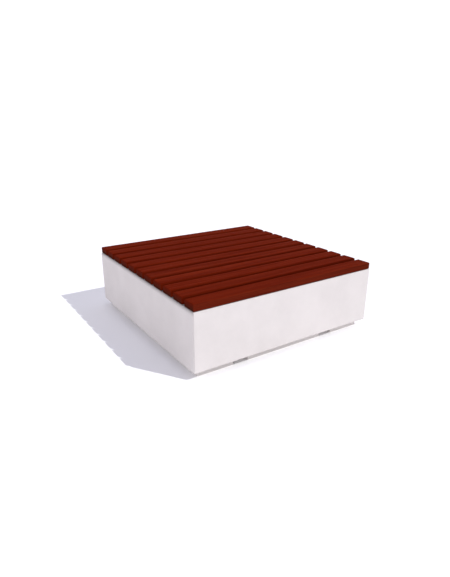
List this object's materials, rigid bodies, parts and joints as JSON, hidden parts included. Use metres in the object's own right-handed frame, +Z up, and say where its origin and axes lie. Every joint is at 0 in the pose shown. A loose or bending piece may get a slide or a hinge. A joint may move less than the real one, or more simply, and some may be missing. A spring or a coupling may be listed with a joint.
{
  "type": "backless bench",
  "caption": "Low square backless bench with a deck of dark red-brown hardwood slats on a hollow white cast-concrete block that stands on a recessed plinth with lifting pockets.",
  "frame": {"origin": "on the ground under the middle of the bench", "axes": "+Z up; +X along the slats, to the right as seen from the front; +Y from the front to the back"},
  "size_m": [1.35, 1.35, 0.45],
  "materials": {
    "concrete": "fair-faced white cast concrete, matte",
    "hardwood": "planed hardwood with a dark red-brown stain, satin",
    "galvanised_steel": "hot-dip galvanised, dull",
    "stainless_steel": "turned stainless steel",
    "epdm": "matte black rubber"
  },
  "bodies": {
    "root": {"concrete_base": "concrete", "slat_01": "hardwood", "slat_02": "hardwood", "slat_03": "hardwood", "slat_04": "hardwood", "slat_05": "hardwood", "slat_06": "hardwood", "slat_07": "hardwood", "slat_08": "hardwood", "slat_09": "hardwood", "slat_10": "hardwood", "slat_11": "hardwood", "bearer_left": "galvanised_steel", "bearer_middle": "galvanised_steel", "bearer_right": "galvanised_steel", "slat_screws_left": "stainless_steel", "slat_screws_middle": "stainless_steel", "slat_screws_right": "stainless_steel", "bearer_pads": "epdm", "anchor_sockets": "galvanised_steel", "anchor_washers": "stainless_steel", "anchor_bolts": "stainless_steel"}
  },
  "joints": []
}
